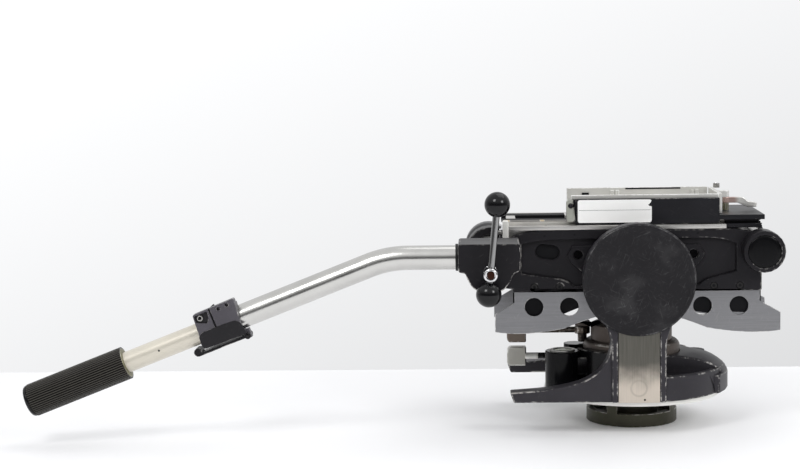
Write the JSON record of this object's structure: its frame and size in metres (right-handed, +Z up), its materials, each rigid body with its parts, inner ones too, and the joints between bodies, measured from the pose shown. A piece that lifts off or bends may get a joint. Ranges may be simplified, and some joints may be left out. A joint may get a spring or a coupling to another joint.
{
  "type": "fluid video head",
  "caption": "Fluid pan and tilt head with a yoke on a flat base, a cradle with a sliding camera plate, and a bent telescoping pan bar with a fluted grip.",
  "frame": {"origin": "centre of the spigot ring's underside, on the pan axis", "axes": "+Z up along the pan axis, +X towards the lens end, -X towards the pan bar, -Y is the side with the pan bar"},
  "size_m": [0.7589, 0.2816, 0.2521],
  "materials": {
    "casting": "satin",
    "black_plate": "satin",
    "ring": "satin",
    "bronze": "satin",
    "bright": "satin",
    "brushed": "satin",
    "steel": "satin",
    "nut": "satin",
    "chrome": "polished",
    "cream_tube": "satin",
    "black_gloss": "gloss",
    "black_matte": "matte",
    "vial": "gloss"
  },
  "bodies": {
    "base": {"spigot_ring": "ring", "base_flange": "bright", "pan_shaft": "steel", "pan_drag_stator": "bronze"},
    "pan_body": {"yoke_casting": "casting", "pan_housing": "bronze", "pan_bearing_lower": "steel", "pan_bearing_upper": "steel", "pan_drag_rotor": "bronze", "level_bezel": "bright", "level_vial": "vial", "brake_post": "bronze", "yoke_face_plate_near": "brushed", "yoke_face_plate_far": "brushed", "drum_cover_near": "casting", "drum_cover_far": "casting", "tilt_bearing_near": "steel", "tilt_bearing_far": "steel", "tilt_drag_stator_near": "bronze", "tilt_drag_stator_far": "bronze"},
    "pan_brake": {"pan_brake_lever": "bright"},
    "tilt_brake": {"tilt_brake_lever": "bright"},
    "pan_drag": {"pan_drag_knob": "black_matte"},
    "platform": {"side_frame_near": "casting", "side_frame_far": "casting", "side_plate_near": "brushed", "side_plate_far": "brushed", "tilt_drag_rotor_near": "bronze", "tilt_drag_rotor_far": "bronze", "front_plug_near": "black_matte", "front_plug_far": "black_matte", "tilt_axle": "steel", "spring_barrel": "bronze", "counterbalance_spring": "steel", "rear_cross_tube": "bright", "front_cross_tube": "bright", "rear_rosette": "steel", "rear_cap_far": "casting", "deck": "bright", "front_block": "black_plate"},
    "slide_lock": {"slide_lock_lever": "chrome"},
    "slide": {"slide_plate": "black_plate", "adapter_tray": "bright", "adapter_end_block": "bright", "lever_pivot_nut": "nut"},
    "adapter_lever": {"adapter_lever": "steel"},
    "thumb_catch": {"thumb_catch": "steel"},
    "pan_bar": {"bar_clamp": "casting", "bar_collar": "black_matte", "bar_tube": "chrome", "telescope_block": "casting"},
    "clamp_screw": {"clamp_screw": "chrome"},
    "tommy_bar": {"tommy_rod": "chrome", "tommy_ball_upper": "black_gloss", "tommy_ball_lower": "black_gloss"},
    "cam_lever": {"cam_lever": "black_plate"},
    "inner_tube": {"inner_tube": "cream_tube", "grip_collar": "cream_tube", "handle_grip": "black_gloss", "grip_end_cap": "black_gloss"}
  },
  "joints": [
    {"name": "pan", "type": "hinge", "parent": "base", "child": "pan_body", "pos_m": [0, 0, 0.06], "axis": [0, 0, 1], "continuous": true},
    {"name": "tilt", "type": "hinge", "parent": "pan_body", "child": "platform", "pos_m": [0, 0, 0.1585], "axis": [0, 1, 0], "range_deg": [-22, 22]},
    {"name": "pan_brake", "type": "hinge", "parent": "pan_body", "child": "pan_brake", "pos_m": [-0.058, 0.014, 0.0648], "axis": [0, 0, 1], "range_deg": [-25, 0]},
    {"name": "tilt_brake", "type": "hinge", "parent": "pan_body", "child": "tilt_brake", "pos_m": [-0.05, 0.014, 0.092], "axis": [0, 0, 1], "range_deg": [-20, 0]},
    {"name": "pan_drag", "type": "hinge", "parent": "pan_body", "child": "pan_drag", "pos_m": [0.068, 0.03, 0.068], "axis": [0, 0, 1], "range_deg": [-135, 135]},
    {"name": "slide", "type": "slide", "parent": "platform", "child": "slide", "axis": [1, 0, 0], "range_m": [-0.04, 0.04]},
    {"name": "adapter_lever", "type": "hinge", "parent": "slide", "child": "adapter_lever", "pos_m": [0.0957, -0.008, 0.2285], "axis": [0, 0, 1], "range_deg": [-50, 50]},
    {"name": "thumb_catch", "type": "hinge", "parent": "slide", "child": "thumb_catch", "pos_m": [-0.065, -0.054, 0.229], "axis": [0, 1, 0], "range_deg": [0, 30]},
    {"name": "slide_lock", "type": "hinge", "parent": "platform", "child": "slide_lock", "pos_m": [-0.1328, -0.04, 0.203], "axis": [1, 0, 0], "range_deg": [0, 60]},
    {"name": "pan_bar", "type": "hinge", "parent": "platform", "child": "pan_bar", "pos_m": [-0.1465, -0.1, 0.1728], "axis": [0, 1, 0], "range_deg": [-45, 90]},
    {"name": "clamp_screw", "type": "hinge", "parent": "pan_bar", "child": "clamp_screw", "pos_m": [-0.1465, -0.14, 0.1728], "axis": [0, 1, 0], "continuous": true},
    {"name": "tommy_bar", "type": "slide", "parent": "clamp_screw", "child": "tommy_bar", "axis": [0.1028, 0, 0.9947], "range_m": [-0.047, 0]},
    {"name": "cam_lever", "type": "hinge", "parent": "pan_bar", "child": "cam_lever", "pos_m": [-0.38546, -0.112, 0.11037], "axis": [0, 1, 0], "range_deg": [-80, 0]},
    {"name": "inner_tube", "type": "slide", "parent": "pan_bar", "child": "inner_tube", "axis": [-0.9317, 0, -0.3633], "range_m": [-0.06, 0.06]}
  ]
}
